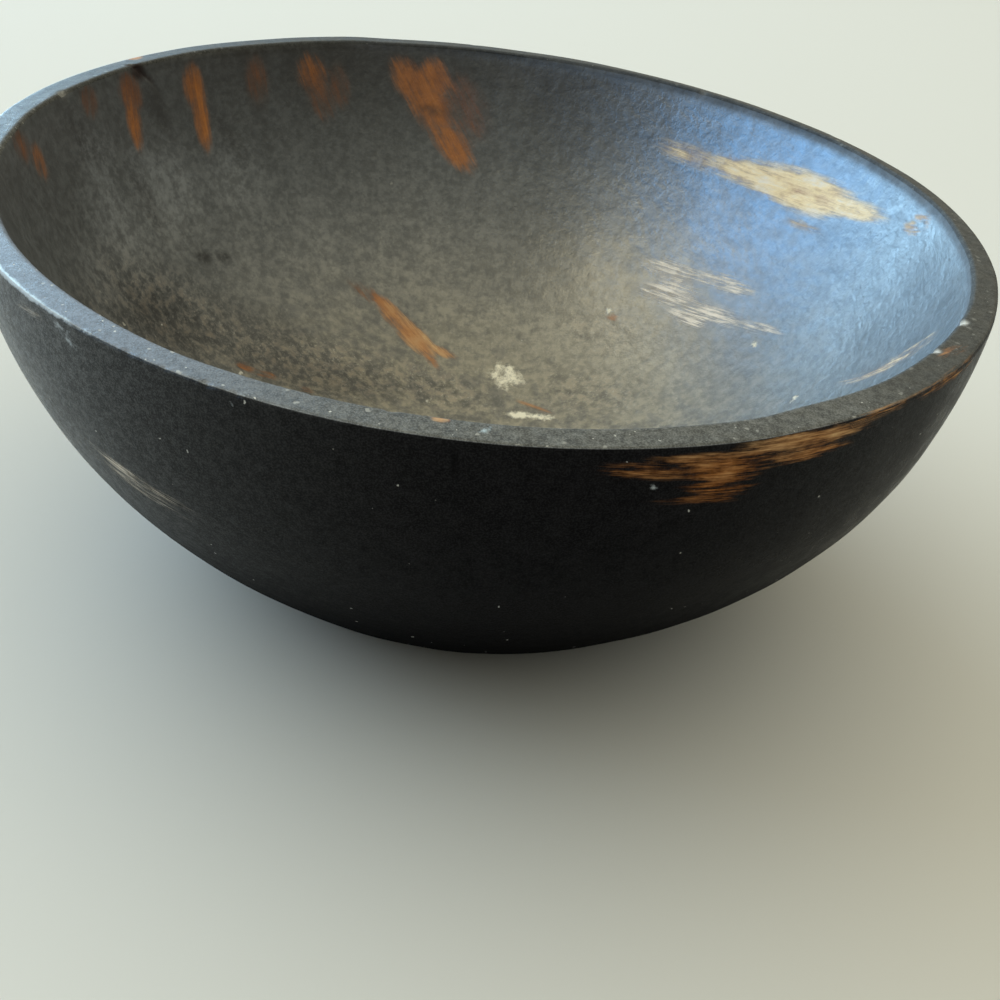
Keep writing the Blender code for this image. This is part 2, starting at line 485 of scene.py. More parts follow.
# Darker smudges in the film
darkSmudges = {"inside": [
    mark(149.6, 36.7, -163, (-2.4, 0, 5.4, 3.3, 1), (3, 0, 4.3, 3, 0.9)),
    mark(13.1, 68.3, 160, (0, 0, 2.6, 2, 1)),
    mark(102.3, 59.1, -180, (-0.2, -0.1, 8.9, 2.8, 0.6, 8), (-4.6, -9.7, 4.1, 2.2, 0.6, 59)),
    mark(26.7, 57.8, 163, (-0.4, 0.2, 21.6, 4.3, 0.5)),
    mark(149.2, 64.8, -95, (0.5, -0.3, 14, 6.6, 0.75)),
    mark(165.7, 64.4, -105, (0, 0, 18.6, 8.1, 0.58), (18.8, -5.6, 19.4, 6.1, 0.5, 17),
         (22.2, -32.3, 15, 5.8, 0.5, 8)),
    mark(160.1, 22.6, -126, (-16.9, 1.1, 39.6, 18, 0.6, -15), (14.5, -1, 52, 16, 0.68),
         (5, -10, 32, 15, 0.45)),
], "outside": [
    mark(-90.9, 68.1, -84, (0, 0, 6.4, 1.5, 0.6)),
]}

# Greyer film at the bottom, and on the left wall a painted sheen, lighter and greyer
hazeAndSheenPlaces = {"inside": [
    # left wall: a painted sheen, lighter grey
    mark(155, 47.4, -119, (-1.1, -1.8, 28, 26, 0.85, 11), (11, -18, 25, 18, 0.5, 11),
         (-18, 5, 18, 15, 0.85, 13), (-7, 14, 28, 24, 0.8), (-7, 26, 22, 20, 0.7)),
    # bottom: greyer film
    mark(117, 32, 0, (0, 0, 74, 36, 0.32)),
    mark(76.2, 17.7, -175, (1.5, -2.1, 63, 27.4, 0.6), (22, 0, 42, 24, 1.1, 8)),
]}

# Browner film: at the front left and in front of the bottom
brownPlaces = {"inside": [
    mark(159.5, 22.8, -128, (-14.5, -1.7, 48, 24, 0.75, -10), (13.8, -2.4, 58, 20, 0.95),
         (-24, 12, 44, 26, 0.4, -10)),
    mark(80.6, 14.2, 172, (-15.1, 2.5, 28.8, 15.7, 0.7, 12), (19.5, -0.3, 28.4, 14.8, 0.5, 14),
         (20.6, -16.1, 25.6, 12.5, 0.4, 27)),
]}

# By azimuth: how far the top of the inside darkens (painted shade), how much painted sheen lightens the rim
# (and its dust; above 1, bluish) and the outside
topDim = [(-150, 0.3), (-90, 0.4), (0, 0.4), (45, 0.5), (70, 0.7), (90, 1.0), (125, 1.0), (150, 0.7),
          (175, 0.15)]
# rim: painted sheen, and how much dust lies on it
rimDustAndSheen = [(-180, 0.7), (-165, 1.25), (-150, 1.6), (-134, 1.62), (-118, 1.42), (-105, 1.15), (-90, 1.0),
           (-65, 0.95), (-30, 0.45), (0, 0.42), (35, 0.4), (70, 0.25), (105, 0.2), (130, 0.3), (150, 0.5)]
# outside: painted sheen where the side catches glancing light, most at the left
wallSheen = [(-180, 0.7), (-165, 1.3), (-150, 1.2), (-135, 0.42), (-115, 0.08), (-90, 0.0), (-65, 0.0),
            (-40, 0.14), (-15, 0.24), (15, 0.16), (50, 0.06), (85, 0.03), (120, 0.03), (150, 0.08)]

# How the wear is laid on the surface
brush = {
    "reach": 50.0,  # of a mark, in millimetres
    "fall": (0.25, 1.2),  # a lobe fades between these shares of its half size
    "margin": 4.0,  # millimetres past it where its streaks still run
    "apart": 7.3,  # keeps the streaks of two marks unlike
    "worn": (33.0 * mm, 90.0 * mm),  # radius: the film inside thins out up to the mouth
    "top": (46.0 * mm, 71.5 * mm),  # height: the inside darkens, a painted shade
    "low": (10.0 * mm, 46.0 * mm),  # height: the outside is darker below, a painted shade, and rougher
    "mouth": (69.5 * mm, 71.5 * mm),  # height: dull edge of the inside
    "rimEdge": (0.15, 0.6),  # how far the rim leans inwards at its dull edge
    "ease": {"top": 16.0, "rim": 12.0, "wall": 18.0},  # degrees
    "streams": (85.0 * mm, 0.12),  # streaks down the wall: radius, and how slowly they change on the way
}


def wallPlace(side, azimuth, height):
    # point and directions on the wall: round it, and up it
    outwards = np.array([*polar(1.0, azimuth), 0.0])
    around = np.array([-outwards[1], outwards[0], 0.0])
    order = sorted(np.flatnonzero(turned.ringZones == side), key=lambda ring: turned.rings[ring, 1])
    columns = (turned.rings[order, 0], turned.ringNormals[order, 0], turned.ringNormals[order, 1])
    radius, outward, upward = (np.interp(height, turned.rings[order, 1], column) for column in columns)
    edge = "inner" if side == "inside" else "outer"
    strayed = strayAt(edge, np.array([azimuth]))[0] * strayWeight(height)
    up = np.cross(unit(outwards * outward + np.array([0.0, 0.0, upward])), around)
    return outwards * (radius + strayed) + np.array([0.0, 0.0, height]), around, up if up[2] > 0.0 else -up


def besideMark(side, spot, points):
    # millimetres from a mark's centre: round the bowl, across that, and straight
    azimuth, level = spot["at"]
    if side == "rim":
        rim = turned.ringZones == "rim"
        middle = np.interp(level * mm, turned.rings[rim, 0], turned.ringLengths[rim])
        beside = turnFrom(turned.azimuth, azimuth) * level
        above = (turned.length - middle) / mm
        return beside, above, np.hypot(beside, above)
    centre, around, up = wallPlace(side, math.radians(azimuth), level * mm)
    away = (points - centre) / mm
    return away @ around, away @ up, np.linalg.norm(away, axis=1)


def paintPlaces(places, points, toned=False):
    count = len(points)
    amount, ragged, toneSum, weight = (np.zeros(count) for part in range(4))
    flow = np.zeros((count, 3))
    marks = [(side, spot) for side in places for spot in places[side]]
    for number, (side, spot) in enumerate(marks):
        turn = math.radians(spot["turn"])
        beside, above, straight = besideMark(side, spot, points)
        along = beside * math.cos(turn) + above * math.sin(turn)
        across = above * math.cos(turn) - beside * math.sin(turn)
        near = np.isin(turned.zone, spot.get("zones", (side,)))
        near &= np.maximum(np.hypot(along, across), straight) < brush["reach"]
        best = np.zeros(count)
        touched = np.zeros(count, bool)
        for lobeAlong, lobeAcross, length, width, strength, *rest in spot["lobes"]:
            tone = rest.pop(0) if toned else 0.0
            tilt = math.radians(rest[0] if rest else 0.0)
            aside, over = along - lobeAlong, across - lobeAcross
            distance = 2.0 * np.hypot((aside * math.cos(tilt) + over * math.sin(tilt)) / length,
                                      (over * math.cos(tilt) - aside * math.sin(tilt)) / width)
            fall = strength * near * (1.0 - smoothStep(*brush["fall"], distance))
            best = np.maximum(best, fall)
            toneSum += fall * tone
            weight += fall
            touched |= near & (distance < brush["fall"][1] + brush["margin"] / width)
        wins = (best > amount) | (touched & (amount == 0.0))
        amount[wins] = best[wins]
        ragged[wins] = spot.get("ragged", 0.0)
        layer = np.full(count, brush["apart"] * (number + 1))
        flow[wins] = np.stack([along, across * spot.get("fine", 1.0), layer], 1)[wins]
    return {"bare": amount, "tone": toneSum / np.maximum(weight, 1e-6), "ragged": ragged, "flow": flow}


def paintWear(points):
    ease = brush["ease"]
    paint = paintPlaces(rubbedPlaces, points, toned=True)
    marks = {"scuff": paleScuffs, "dark": darkSmudges, "haze": hazeAndSheenPlaces, "brown": brownPlaces}
    for label, places in marks.items():
        paint[label] = paintPlaces(places, points)["bare"]
    darkens = byAzimuth(topDim, turned.azimuth, ease["top"])
    radius, run = brush["streams"]
    return {
        **paint,
        "worn": onInside * (1.0 - smoothStep(*brush["worn"], turned.radius)),
        "top": onInside * smoothStep(*brush["top"], turned.height) * darkens,
        "low": onOutside * (1.0 - smoothStep(*brush["low"], turned.height)),
        # painted sheen by azimuth; on the rim also how dusty it is
        "dustAndSheen": np.where(onOutside, byAzimuth(wallSheen, turned.azimuth, ease["wall"]),
                          byAzimuth(rimDustAndSheen, turned.azimuth, ease["rim"])),
        "edge": np.where(onRim, smoothStep(*brush["rimEdge"], -turned.outward),
                         onInside * smoothStep(*brush["mouth"], turned.height)),
        "chipped": chipped,
        "split": split,
        "wall": np.stack([*polar(radius, turned.azimuth), run * turned.length], 1),
    }


def bowlMesh(name):
    points = turned.points()
    paint = paintWear(points)
    print("wear painted:", ", ".join(paint))
    faces, rows = turned.faces()
    mesh = bpy.data.meshes.new(name)
    mesh.from_pydata(points.tolist(), [], faces)
    mesh.shade_smooth()
    slotOf = {"inside": 0, "rim": 1, "outside": 2}
    slots = np.array([slotOf[zone] for zone in turned.ringZones[1:]], np.int32)[rows]
    mesh.polygons.foreach_set("material_index", slots)
    for label, values in paint.items():
        kind, field = ("FLOAT", "value") if values.ndim == 1 else ("FLOAT_VECTOR", "vector")
        data = mesh.attributes.new(label, kind, "POINT").data
        data.foreach_set(field, values.astype(np.float32).ravel())
    layDiscs(mesh, faces, slots == slotOf["outside"])
    return mesh


# Two round maps: inside with the rim, and outside with the base, each spread out from its centre
discMap = {
    "inside": 0.29,  # centres
    "outside": 0.71,
    "radius": 0.285,
}


def layDiscs(mesh, faces, outerFaces):
    corner = np.concatenate(faces)
    outer = np.repeat(outerFaces, [len(face) for face in faces])
    length = turned.length[corner]
    fromCentre = np.where(outer, turned.ringLengths[-1] - length, length)
    longest = np.where(outer, fromCentre[outer].max(), fromCentre[~outer].max())
    spread = discMap["radius"] * fromCentre / longest
    middle = np.where(outer, discMap["outside"], discMap["inside"])
    places = np.stack([middle + side for side in polar(spread, turned.azimuth[corner])], 1)
    mesh.uv_layers.new(name="OFBake").data.foreach_set("uv", places.astype(np.float32).ravel())


class Wiring:
    # makes the nodes of one shader tree: what feeds a socket is a value or another node's output
    def __init__(self, tree):
        self.tree = tree

    def feed(self, socket, value):
        if isinstance(value, bpy.types.NodeSocket):
            self.tree.links.new(value, socket)
        else:
            socket.default_value = value

    def place(self, kind, feeds, **settings):
        made = self.tree.nodes.new("ShaderNode" + kind)
        for key, value in settings.items():
            setattr(made, key, value)
        for key, value in feeds.items():
            self.feed(made.inputs[key], value)
        return made

    def calc(self, operation, first, second, clamp=False):
        feeds = {0: first, 1: second}
        return self.place("Math", feeds, operation=operation, use_clamp=clamp).outputs[0]

    def times(self, first, second, clamp=False):
        return self.calc("MULTIPLY", first, second, clamp)

    def plus(self, first, second, clamp=False):
        return self.calc("ADD", first, second, clamp)

    def minus(self, first, second, clamp=False):
        return self.calc("SUBTRACT", first, second, clamp)

    def weighed(self, shares, first, second):
        return self.plus(self.times(first, shares[0]), self.times(second, shares[1]))

    def added(self, value, gains, clamp=False):
        for amount, gain in gains:
            value = self.plus(value, self.times(amount, gain), clamp)
        return value

    def vectors(self, operation, first, second):
        return self.place("VectorMath", {0: first, 1: second}, operation=operation).outputs

    def ranged(self, value, low, high, newLow=0.0, newHigh=1.0):
        feeds = {"Value": value, "From Min": low, "From Max": high, "To Min": newLow, "To Max": newHigh}
        return self.place("MapRange", feeds, interpolation_type="SMOOTHSTEP").outputs["Result"]

    def swung(self, value, low, high):
        # a value from 0 to 1, spread over another range
        return self.ranged(value, 0.0, 1.0, low, high)

    def noise(self, vector, scale, detail, roughness):
        feeds = {"Vector": vector, "Scale": scale, "Detail": detail, "Roughness": roughness}
        return self.place("TexNoise", feeds).outputs["Fac"]

    def mixed(self, factor, first, second, blend="MIX"):
        feeds = {0: factor, 6: first, 7: second}  # the sockets for colours
        return self.place("Mix", feeds, data_type="RGBA", blend_type=blend).outputs[2]

    def layered(self, colour, layers):
        # each layer is a share and the colour that it puts over the last
        for share, over in layers:
            colour = self.mixed(share, colour, over)
        return colour

    def blended(self, factor, first, second):
        return self.place("Mix", {0: factor, 2: first, 3: second}, data_type="FLOAT").outputs[0]

    def attribute(self, name, output="Fac"):
        return self.place("Attribute", {}, attribute_name=name).outputs[output]

    def attributes(self, *names):
        return [self.attribute(name) for name in names]

    def effect(self, name, feeds):
        return self.place("Group", feeds, node_tree=effects[name]).outputs


def newGroup(name, inputs, effect, form):
    # an input has a starting value, or None if it takes a vector
    tree = bpy.data.node_groups.new(name, "ShaderNodeTree")
    for label, start in inputs.items():
        kind = "NodeSocketVector" if start is None else "NodeSocketFloat"
        socket = tree.interface.new_socket(label, in_out="INPUT", socket_type=kind)
        if start is not None:
            socket.default_value = start
    nodes = Wiring(tree)
    made = effect(nodes, tree.nodes.new("NodeGroupInput").outputs, form)
    for label, output in made.items():
        kind = "NodeSocketColor" if output.type == "RGBA" else "NodeSocketFloat"
        tree.interface.new_socket(label, in_out="OUTPUT", socket_type=kind)
    out = tree.nodes.new("NodeGroupOutput").inputs
    for label, output in made.items():
        nodes.feed(out[label], output)
    return tree


# Noises in the film: scale, detail, roughness, and the part of each that is spread over 0 to 1
streakLayers = {"Broad": (75.0, 4.0, 0.62, 0.34, 0.66), "Narrow": (360.0, 3.0, 0.55, 0.36, 0.64)}
mottleLayers = {
    "Blotches": (330.0, 5.0, 0.62, 0.30, 0.72),
    "Peel": (420.0, 3.0, 0.58, 0.28, 0.72),  # like orange peel
    "Clumps": (760.0, 4.0, 0.66, 0.34, 0.70),
    "Tooth": (1700.0, 3.0, 0.60),
    "Grain": (3600.0, 2.0, 0.60, 0.40, 0.66),
}


def filmNoises(nodes, given, layers):
    made = {}
    for label, (scale, detail, roughness, *part) in layers.items():
        level = nodes.noise(given["Vector"], scale, detail, roughness)
        made[label] = nodes.ranged(level, *part) if part else level
    return made


# Grains of dust and lint, scattered and of uneven size
speckForm = {
    "shake": 1.2 * mm,  # makes them less round
    "shakeScale": 900.0,
    "sizes": (0.3, 0.9),  # smallest, and how much is added at most
    "soft": 0.45,
}


def dustSpecks(nodes, given, form):
    wobble = nodes.place("TexNoise", {"Vector": given["Vector"], "Scale": form["shakeScale"]})
    shaken = nodes.vectors("MULTIPLY", wobble.outputs["Color"], (form["shake"],) * 3)[0]
    moved = nodes.vectors("ADD", given["Vector"], shaken)[0]
    cells = nodes.place("TexVoronoi", {"Vector": moved, "Scale": given["Spacing"]}).outputs
    draw = nodes.place("SeparateColor", {"Color": cells["Color"]}).outputs
    least, added = form["sizes"]
    size = nodes.times(given["Size"], nodes.plus(nodes.times(draw[1], added), least))
    spot = nodes.minus(1.0, nodes.calc("DIVIDE", cells["Distance"], size), clamp=True)
    kept = nodes.calc("LESS_THAN", draw[0], given["Share"])
    return {"Mask": nodes.ranged(nodes.times(spot, kept), 0.0, form["soft"])}


# Black rubbed away in streaks, down to wood
rubForm = {
    "long": ((0.09, 1.15, 1.0), 4.0, 0.62),  # stretch, detail and roughness
    "short": ((0.4, 3.6, 1.0), 3.0, 0.6),
    "patchy": ((0.17, 0.36, 1.0), 4.0, 0.62),
    "streak": (0.65, 0.35),  # shares of long and short
    "push": (2.1, 1.4),  # how far streaks and patches move the edge
    "shade": (0.4, 0.45),  # and the tone
    "rim": (0.02, 0.35),  # nothing is bare below this strength
    "halo": 0.7,
    "tones": [(0.0, (0.05, 0.017, 0.011, 1)), (0.3, (0.17, 0.058, 0.020, 1)),
              (0.55, (0.42, 0.145, 0.028, 1)), (0.75, (0.52, 0.31, 0.15, 1)),
              (0.88, (1.0, 0.77, 0.43, 1)), (1.0, (0.93, 0.84, 0.74, 1))],
}


def rubThrough(nodes, given, form):
    levels = []
    for layer in ("long", "short", "patchy"):
        stretch, detail, roughness = form[layer]
        drawn = nodes.place("Mapping", {"Vector": given["Flow"], "Scale": stretch}).outputs["Vector"]
        levels.append(nodes.noise(drawn, 1.0, detail, roughness))
    streak = nodes.weighed(form["streak"], levels[0], levels[1])
    uneven = nodes.minus(streak, 0.5)
    patchy = nodes.minus(levels[2], 0.5)
    push = nodes.weighed(form["push"], uneven, patchy)
    level = nodes.plus(given["Bare"], nodes.times(push, given["Ragged"]))
    mask = nodes.times(nodes.ranged(level, 0.0, 1.0), nodes.ranged(given["Bare"], *form["rim"]))
    toned = nodes.added(given["Tone"], zip((uneven, patchy), form["shade"]))
    ramp = nodes.place("ValToRGB", {"Fac": toned})
    stops = ramp.color_ramp.elements
    for position, colour in form["tones"]:
        stop = stops[0] if position == 0.0 else (stops[-1] if position == 1.0 else stops.new(position))
        stop.color = colour
    halo = nodes.ranged(given["Bare"], 0.0, form["halo"])
    return {"Mask": mask, "Halo": halo, "Wood": ramp.outputs["Color"], "Depth": streak}


# Dry whitish scuff that sits on the surface
scuffForm = {
    "noise": (620.0, 5.0, 0.7),
    "broken": 2.4,
    "opens": (0.2, 1.0),
    "rim": (0.02, 0.3),
}


def paleScuff(nodes, given, form):
    broken = nodes.minus(nodes.noise(given["Vector"], *form["noise"]), 0.5)
    level = nodes.plus(given["Amount"], nodes.times(broken, form["broken"]))
    opened = nodes.ranged(level, *form["opens"])
    return {"Mask": nodes.times(opened, nodes.ranged(given["Amount"], *form["rim"]))}


speckInputs = {"Vector": None, "Spacing": 300.0, "Size": 0.2, "Share": 0.3}
rubInputs = {"Bare": 0.0, "Tone": 0.5, "Flow": None, "Ragged": 0.8}
effects = {
    "streaks": newGroup("streaks", {"Vector": None}, filmNoises, streakLayers),
    "mottle": newGroup("mottle", {"Vector": None}, filmNoises, mottleLayers),
    "specks": newGroup("dustSpecks", speckInputs, dustSpecks, speckForm),
    "rub": newGroup("rubThrough", rubInputs, rubThrough, rubForm),
    "scuff": newGroup("paleScuff", {"Vector": None, "Amount": 0.0}, paleScuff, scuffForm),
}
print("shader groups made:", ", ".join(effects))


def newMaterial(name):
    material = bpy.data.materials.new(name)
    material.use_nodes = True
    return material, Wiring(material.node_tree), material.node_tree.nodes["Principled BSDF"]


def bowlMaterial(name, look, surface):
    material, nodes, shader = newMaterial(name)
    where = nodes.place("TexCoord", {}).outputs["Object"]
    film = nodes.effect("mottle", {"Vector": where})
    bare, tone, ragged, scuff = nodes.attributes("bare", "tone", "ragged", "scuff")
    flow = nodes.attribute("flow", "Vector")
    rub = nodes.effect("rub", {"Bare": bare, "Tone": tone, "Flow": flow, "Ragged": ragged})
    scuffed = nodes.effect("scuff", {"Vector": where, "Amount": scuff})["Mask"]
    colour, rougher, raised = surface(nodes, look, where, film, rub, scuffed)
    rough = nodes.added(nodes.swung(film["Blotches"], *look["roughness"]), rougher, clamp=True)
    bump = nodes.place("Bump", {"Height": raised, "Strength": look["bump"], "Distance": look["toothDepth"]})
    nodes.feed(shader.inputs["Base Color"], colour)
    nodes.feed(shader.inputs["Roughness"], rough)
    nodes.feed(shader.inputs["Normal"], bump.outputs["Normal"])
    shader.inputs["Specular IOR Level"].default_value = look["gloss"]
    return material


# Inside: satin black, hazy and browner where things have rubbed at the bottom. A range of four numbers says
# from, to and what these become.
insideFinish = {
    "black": (0.083, 0.088, 0.091, 1),
    "haze": (0.288, 0.264, 0.203, 1),
    # haze of the walls, bluish as a painted sheen of the window's cool light
    "coolHazeAndSheen": (0.205, 0.221, 0.240, 1),
    "brown": (0.30, 0.225, 0.150, 1),
    "halo": (0.095, 0.050, 0.026, 1),
    "deep": (0.015, 0.0138, 0.013, 1),
    "dust": (0.52, 0.50, 0.44, 1),
    "scuff": (0.92, 0.86, 0.70, 1),
    "splitDark": (0.012, 0.004, 0.0035, 1),
    "narrowStreaks": 0.3,
    "wallClumps": 0.35,
    "hazeShares": (0.72, 0.9), "plainHaze": 0.15,  # worn, in its places (on the left wall a painted sheen), everywhere
    "hazeSwing": (0.35, 1.3),
    "topSwing": (1.0, 0.65),
    "grainClumps": 0.45,
    "pores": (0.05, 0.85, 0.42, 0.0),
    "clumps": (0.32, 0.95), "clumpShares": (0.52, 0.12),  # browned, worn
    "gaps": (0.05, 0.66, 0.75, 0.0),
    "crumbs": (0.56, 0.72), "crumbShares": (0.34, 0.2),
    "haloShare": 0.5,
    "smudgeSwing": (1.0, 0.6),
    "scuffShare": 0.9,
    "lint": {"Spacing": 210.0, "Size": 0.13, "Share": 0.14},
    "lintWorn": (0.1, 0.5),
    "gloss": 0.60,
    "roughness": (0.41, 0.50),
    "wornRoughness": 0.4,
    "bump": 0.8,
    "toothDepth": 0.10 * mm,
    "toothShares": (0.35, 0.75), "sunkWood": 0.9, "proudScuff": 0.8,  # tooth, peel
}


def insideSurface(nodes, look, where, film, rub, scuffed):
    streaks = nodes.effect("streaks", {"Vector": nodes.attribute("wall", "Vector")})
    lint = nodes.effect("specks", {"Vector": where, **look["lint"]})["Mask"]
    worn, hazedAndSheened, browned, top, dark = nodes.attributes("worn", "haze", "brown", "top", "dark")
    edge, split = nodes.attributes("edge", "split")

    # the film: streaky up the wall, blotchy at the bottom
    streaky = nodes.blended(look["narrowStreaks"], streaks["Broad"], streaks["Narrow"])
    streaky = nodes.blended(look["wallClumps"], streaky, film["Clumps"])
    uneven = nodes.blended(worn, streaky, film["Blotches"])
    hazy = nodes.plus(nodes.weighed(look["hazeShares"], worn, hazedAndSheened), look["plainHaze"])
    hazy = nodes.times(hazy, nodes.swung(uneven, *look["hazeSwing"]), clamp=True)
    # the walls' haze is partly a painted sheen
    colour = nodes.mixed(hazy, look["black"], nodes.mixed(worn, look["coolHazeAndSheen"], look["haze"]))

    # grain in the film: small dark pores, brown clumps, dark gaps between them and pale crumbs
    grainy = nodes.blended(look["grainClumps"], film["Peel"], film["Clumps"])
    clumps = nodes.weighed(look["clumpShares"], browned, worn)
    crumbs = nodes.weighed(look["crumbShares"], browned, worn)
    colour = nodes.layered(colour, [
        # painted shade: darker at the top of the wall, most at the back
        (nodes.times(top, nodes.swung(streaky, *look["topSwing"])), look["deep"]),
        (nodes.ranged(grainy, *look["pores"]), look["deep"]),
        (nodes.times(nodes.ranged(grainy, *look["clumps"]), clumps), look["brown"]),
        (nodes.times(nodes.ranged(grainy, *look["gaps"]), browned), look["deep"]),
        (nodes.times(nodes.ranged(film["Tooth"], *look["crumbs"]), crumbs), look["dust"]),
        (nodes.times(rub["Halo"], look["haloShare"]), look["halo"]),
        (rub["Mask"], rub["Wood"]),
        (nodes.times(dark, nodes.swung(film["Clumps"], *look["smudgeSwing"])), look["deep"]),
        (nodes.times(scuffed, look["scuffShare"]), look["scuff"]),
        (nodes.times(lint, nodes.ranged(worn, *look["lintWorn"])), look["dust"]),
        (split, look["splitDark"]),
    ])
    rougher = [(amount, look["wornRoughness"]) for amount in (rub["Mask"], scuffed, edge, split)]
    raised = nodes.weighed(look["toothShares"], film["Tooth"], film["Peel"])
    raised = nodes.minus(raised, nodes.times(rub["Mask"], nodes.times(rub["Depth"], look["sunkWood"])))
    raised = nodes.plus(raised, nodes.times(scuffed, look["proudScuff"]))
    return colour, rougher, raised


# Rim: the same black, dustier and greyer, worn on its edges; a painted sheen makes it lighter at the front
# and left, bluish at the left, blacker at the back
rimFinish = {
    "black": (0.038, 0.038, 0.035, 1),
    "grey": (0.190, 0.191, 0.178, 1),
    "deep": (0.020, 0.020, 0.019, 1),
    "dust": (0.56, 0.55, 0.51, 1),
    # painted sheen: bluish grey where the rim catches the window's light
    "coolSheen": (0.185, 0.212, 0.275, 1),
    # pale scuffs, and the painted highlight along the outer edge
    "scuffAndHighlight": (0.55, 0.67, 0.74, 1),
    "chip": (0.72, 0.70, 0.65, 1),
    "splitDark": (0.012, 0.004, 0.0035, 1),
    "grainClumps": 0.5,
    "coolSheenRange": (1.0, 1.6),
    "coolSheenSwing": (0.45, 0.9),
    "grit": {"Spacing": 620.0, "Size": 0.3, "Share": 0.3}, "gritShare": 0.4,
    "lint": {"Spacing": 680.0, "Size": 0.13, "Share": 0.6}, "lintShare": 0.85,
    "scuffAndHighlightShare": 0.8,
    "chipShare": 0.85,
    "gloss": 0.25,
    "roughness": (0.47, 0.59),
    "wornRoughness": 0.35,
    "bump": 0.6,
    "toothDepth": 0.10 * mm,
    "peel": 0.2,
}


def rimSurface(nodes, look, where, film, rub, scuffed):
    grit = nodes.effect("specks", {"Vector": where, **look["grit"]})["Mask"]
    lint = nodes.effect("specks", {"Vector": where, **look["lint"]})["Mask"]
    dustAndSheen, chipped, edge, split = nodes.attributes("dustAndSheen", "chipped", "edge", "split")
    grainy = nodes.blended(look["grainClumps"], film["Grain"], film["Clumps"])
    colour = nodes.mixed(grainy, look["black"], look["grey"])
    # painted sheen: the rim lighter at the front and left, bluish at the left, blacker at the back
    coolSheen = nodes.times(nodes.ranged(dustAndSheen, *look["coolSheenRange"]), nodes.swung(grainy, *look["coolSheenSwing"]))
    colour = nodes.layered(nodes.mixed(dustAndSheen, look["deep"], colour), [
        (coolSheen, look["coolSheen"]),
        (nodes.times(nodes.times(grit, look["gritShare"]), dustAndSheen), look["dust"]),
        (rub["Mask"], rub["Wood"]),
        # pale scuffs, and the painted highlight along the outer edge at the left
        (nodes.times(scuffed, look["scuffAndHighlightShare"]), look["scuffAndHighlight"]),
        (nodes.times(nodes.times(lint, look["lintShare"]), dustAndSheen), look["dust"]),
        (nodes.times(chipped, look["chipShare"]), look["chip"]),
        (split, look["splitDark"]),
    ])
    rougher = [(amount, look["wornRoughness"]) for amount in (rub["Mask"], chipped, edge)]
    raised = nodes.plus(film["Tooth"], nodes.times(film["Peel"], look["peel"]))
    return colour, rougher, raised


# Outside and base: matte black with a little dust in its tooth, a painted sheen at the sides, darker
# (painted shade) and duller towards the base
outsideFinish = {
    "black": (0.0040, 0.0040, 0.0048, 1),
    "grey": (0.016, 0.016, 0.018, 1),
    "deep": (0.0015, 0.0015, 0.0015, 1),
    "dust": (0.42, 0.42, 0.41, 1),
    # painted sheen: light bluish grey laid on by azimuth
    "film": (0.320, 0.334, 0.348, 1),
    # pale scuffs, and where the rim's painted highlight runs onto the outside
    "scuff": (0.50, 0.55, 0.60, 1),
    "toothBlotches": 0.3,
    "grainClumps": 0.5,
    "sheenSwing": (0.4, 1.0),
    "lowShadeShare": 0.8,
    "scuffShare": 0.8,
    "lint": {"Spacing": 330.0, "Size": 0.075, "Share": 0.6},
    "gloss": 0.007,
    "roughness": (0.25, 0.36),
    "lowRoughness": 0.7,
    "wornRoughness": 0.5,
    "bump": 0.6,
    "toothDepth": 0.08 * mm,
}


def outsideSurface(nodes, look, where, film, rub, scuffed):
    lint = nodes.effect("specks", {"Vector": where, **look["lint"]})["Mask"]
    low, dustAndSheen, dark, chipped = nodes.attributes("low", "dustAndSheen", "dark", "chipped")
    toothed = nodes.blended(look["toothBlotches"], film["Grain"], film["Blotches"])
    grain = nodes.blended(look["grainClumps"], film["Grain"], film["Clumps"])
    colour = nodes.layered(nodes.mixed(toothed, look["black"], look["grey"]), [
        # painted sheen, lighter at the sides and most at the left
        (nodes.times(dustAndSheen, nodes.swung(grain, *look["sheenSwing"])), look["film"]),
        # painted shade: darker towards the base
        (nodes.times(low, look["lowShadeShare"]), look["deep"]),
        (rub["Mask"], rub["Wood"]),
        (dark, look["deep"]),
        (nodes.times(scuffed, look["scuffShare"]), look["scuff"]),
        (lint, look["dust"]),
    ])
    rougher = [(low, look["lowRoughness"])]
    rougher += [(amount, look["wornRoughness"]) for amount in (rub["Mask"], chipped)]
    raised = nodes.minus(film["Tooth"], nodes.times(rub["Mask"], rub["Depth"]))
    return colour, rougher, raised


def addPiece(name, mesh, materials):
    for material in materials:
        mesh.materials.append(material)
    piece = bpy.data.objects.new(name, mesh)
    scene.collection.objects.link(piece)
    return piece


bowlSurfaces = {
    "satinBlackInside": (insideFinish, insideSurface),
    "greyedBlackRim": (rimFinish, rimSurface),
    "matteBlackOutside": (outsideFinish, outsideSurface),
}
bowlPiece = addPiece("bowl_turned", bowlMesh("bowl_turned"),
                     [bowlMaterial(name, *surface) for name, surface in bowlSurfaces.items()])
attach(bowlPiece, "root")
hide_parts("bowl")
print("bowl made:", len(bowlPiece.data.polygons), "faces")


# Floor
floorSheet = {
    "half": 4.0,
    "colour": (0.70, 0.69, 0.66, 1),
    "roughness": 0.38,
    "gloss": 0.0,
}


def floorPiece(values):
    half = values["half"]
    corners = [(-half, -half, 0.0), (half, -half, 0.0), (half, half, 0.0), (-half, half, 0.0)]
    mesh = bpy.data.meshes.new("floor")
    mesh.from_pydata(corners, [], [(0, 1, 2, 3)])
    material, nodes, shader = newMaterial("paleFloor")
    shader.inputs["Base Color"].default_value = values["colour"]
    shader.inputs["Roughness"].default_value = values["roughness"]
    shader.inputs["Specular IOR Level"].default_value = values["gloss"]
    return addPiece("floor", mesh, [material])


floorPiece(floorSheet)

